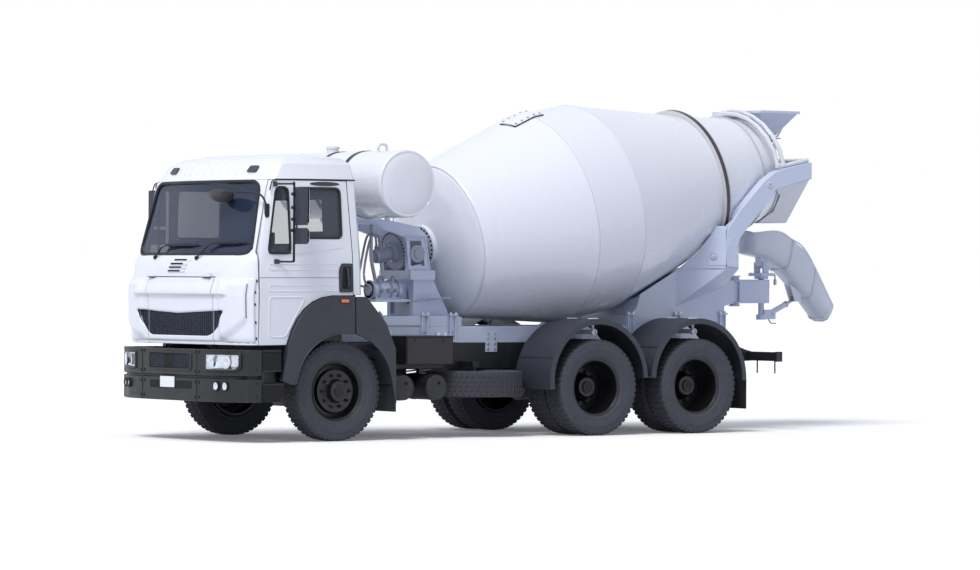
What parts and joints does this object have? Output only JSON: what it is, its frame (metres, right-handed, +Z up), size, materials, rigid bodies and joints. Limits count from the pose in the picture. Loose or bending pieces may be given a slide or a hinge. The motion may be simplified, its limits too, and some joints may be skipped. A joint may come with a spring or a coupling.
{
  "type": "concrete mixer truck",
  "caption": "Three-axle truck with a tilting cab, doors, a tilted revolving mixing drum, a charging hopper and a swinging discharge chute.",
  "frame": {"origin": "on the ground below the middle of the truck's length, on its centre plane", "axes": "+X towards the front of the truck, +Y to its left, +Z up"},
  "size_m": [8.866, 3.04, 3.6397],
  "materials": {
    "cab_paint": "glossy white paint",
    "mixer_paint": "satin pale lavender grey paint",
    "chassis_black": "satin black chassis paint",
    "plastic_trim": "grained charcoal plastic",
    "tyre_rubber": "matt dark grey rubber",
    "white_tube": "white painted tube",
    "bright_steel": "bright bare steel",
    "tinted_glass": "blue violet tinted glass",
    "cab_trim": "dark grey cab trim"
  },
  "bodies": {
    "chassis": {"frame_rail_left": "chassis_black", "frame_rail_right": "chassis_black", "subframe_left": "mixer_paint", "subframe_right": "mixer_paint", "rear_crossmember": "chassis_black", "engine": "chassis_black", "propshaft": "chassis_black", "front_axle": "chassis_black", "rear_bogie": "chassis_black", "front_bumper": "plastic_trim", "front_guard_left": "plastic_trim", "front_guard_right": "plastic_trim", "side_locker": "chassis_black", "fuel_tank": "chassis_black", "spare_wheel": "tyre_rubber", "mudguard_left": "plastic_trim", "mudguard_right": "plastic_trim", "front_pedestal": "mixer_paint", "drum_gearbox": "mixer_paint", "water_tank": "chassis_black", "rear_pedestal": "mixer_paint", "rear_arm_left": "mixer_paint", "rear_arm_right": "mixer_paint", "mouth_frame": "white_tube", "charging_hopper": "mixer_paint", "discharge_collector": "mixer_paint"},
    "cab": {"cab_front": "cab_paint", "cab_back": "cab_paint", "cab_roof": "cab_paint", "windshield": "tinted_glass", "cab_floor": "chassis_black", "cab_interior": "cab_trim", "arch_flare_left": "plastic_trim", "arch_flare_right": "plastic_trim"},
    "door_left": {"door_left": "cab_paint", "door_glass_left": "tinted_glass", "mirror_left": "plastic_trim"},
    "door_right": {"door_right": "cab_paint", "door_glass_right": "tinted_glass", "mirror_right": "plastic_trim"},
    "front_flap": {"front_flap": "cab_paint"},
    "knuckle_left": {"knuckle_left": "chassis_black"},
    "knuckle_right": {"knuckle_right": "chassis_black"},
    "front_wheel_left": {"front_tyre_left": "tyre_rubber", "front_rim_left": "chassis_black"},
    "front_wheel_right": {"front_tyre_right": "tyre_rubber", "front_rim_right": "chassis_black"},
    "rear_wheel_1_left": {"rear_tyres_1_left": "tyre_rubber", "rear_rim_1_left": "chassis_black"},
    "rear_wheel_1_right": {"rear_tyres_1_right": "tyre_rubber", "rear_rim_1_right": "chassis_black"},
    "rear_wheel_2_left": {"rear_tyres_2_left": "tyre_rubber", "rear_rim_2_left": "chassis_black"},
    "rear_wheel_2_right": {"rear_tyres_2_right": "tyre_rubber", "rear_rim_2_right": "chassis_black"},
    "drum": {"drum": "cab_paint"},
    "chute_swivel": {"chute_cradle": "mixer_paint"},
    "chute": {"chute": "mixer_paint"},
    "jack_barrel": {"jack_barrel": "bright_steel"},
    "jack_rod": {"jack_rod": "bright_steel"}
  },
  "joints": [
    {"name": "cab_tilt", "type": "hinge", "parent": "chassis", "child": "cab", "pos_m": [4.255, 0, 1.045], "axis": [0, 1, 0], "range_deg": [0, 45]},
    {"name": "door_left_swing", "type": "hinge", "parent": "cab", "child": "door_left", "pos_m": [4.09, 1.2, 1.8], "axis": [0, 0, -1], "range_deg": [0, 70]},
    {"name": "door_right_swing", "type": "hinge", "parent": "cab", "child": "door_right", "pos_m": [4.09, -1.2, 1.8], "axis": [0, 0, 1], "range_deg": [0, 70]},
    {"name": "front_flap_lift", "type": "hinge", "parent": "cab", "child": "front_flap", "pos_m": [4.325, 0, 1.7], "axis": [0, -1, 0], "range_deg": [0, 75]},
    {"name": "steer_left", "type": "hinge", "parent": "chassis", "child": "knuckle_left", "pos_m": [3.065, 0.88, 0.522], "axis": [0, 0, 1], "range_deg": [-38, 38]},
    {"name": "steer_right", "type": "hinge", "parent": "chassis", "child": "knuckle_right", "pos_m": [3.065, -0.88, 0.522], "axis": [0, 0, 1], "range_deg": [-38, 38]},
    {"name": "front_wheel_left_roll", "type": "hinge", "parent": "knuckle_left", "child": "front_wheel_left", "pos_m": [3.065, 0.99, 0.522], "axis": [0, 1, 0], "continuous": true},
    {"name": "front_wheel_right_roll", "type": "hinge", "parent": "knuckle_right", "child": "front_wheel_right", "pos_m": [3.065, -0.99, 0.522], "axis": [0, 1, 0], "continuous": true},
    {"name": "rear_wheel_1_left_roll", "type": "hinge", "parent": "chassis", "child": "rear_wheel_1_left", "pos_m": [-0.235, 0.9375, 0.522], "axis": [0, 1, 0], "continuous": true},
    {"name": "rear_wheel_1_right_roll", "type": "hinge", "parent": "chassis", "child": "rear_wheel_1_right", "pos_m": [-0.235, -0.9375, 0.522], "axis": [0, 1, 0], "continuous": true},
    {"name": "rear_wheel_2_left_roll", "type": "hinge", "parent": "chassis", "child": "rear_wheel_2_left", "pos_m": [-1.615, 0.9375, 0.522], "axis": [0, 1, 0], "continuous": true},
    {"name": "rear_wheel_2_right_roll", "type": "hinge", "parent": "chassis", "child": "rear_wheel_2_right", "pos_m": [-1.615, -0.9375, 0.522], "axis": [0, 1, 0], "continuous": true},
    {"name": "drum_spin", "type": "hinge", "parent": "chassis", "child": "drum", "pos_m": [-0.287, 0, 2.352], "axis": [-0.9809, 0, 0.1947], "continuous": true},
    {"name": "chute_swivel", "type": "hinge", "parent": "chassis", "child": "chute_swivel", "pos_m": [-3.52, 0, 1.55], "axis": [0, 0, 1], "range_deg": [-80, 80]},
    {"name": "chute_tilt", "type": "hinge", "parent": "chute_swivel", "child": "chute", "pos_m": [-3.52, 0, 1.86], "axis": [0, 1, 0], "range_deg": [-10, 15]},
    {"name": "jack_pivot", "type": "hinge", "parent": "chute_swivel", "child": "jack_barrel", "pos_m": [-3.645, 0, 1.3], "axis": [0, 1, 0], "range_deg": [-7.01, 10.51]},
    {"name": "jack_extend", "type": "slide", "parent": "jack_barrel", "child": "jack_rod", "axis": [-0.9128, 0, 0.4084], "range_m": [-0.0983, 0.1474]}
  ],
  "couplings": [
    {"joint": "steer_right", "follows": "steer_left", "ratio": 1},
    {"joint": "jack_pivot", "follows": "chute_tilt", "ratio": 0.7},
    {"joint": "jack_extend", "follows": "chute_tilt", "m_per_rad": 0.5622}
  ]
}
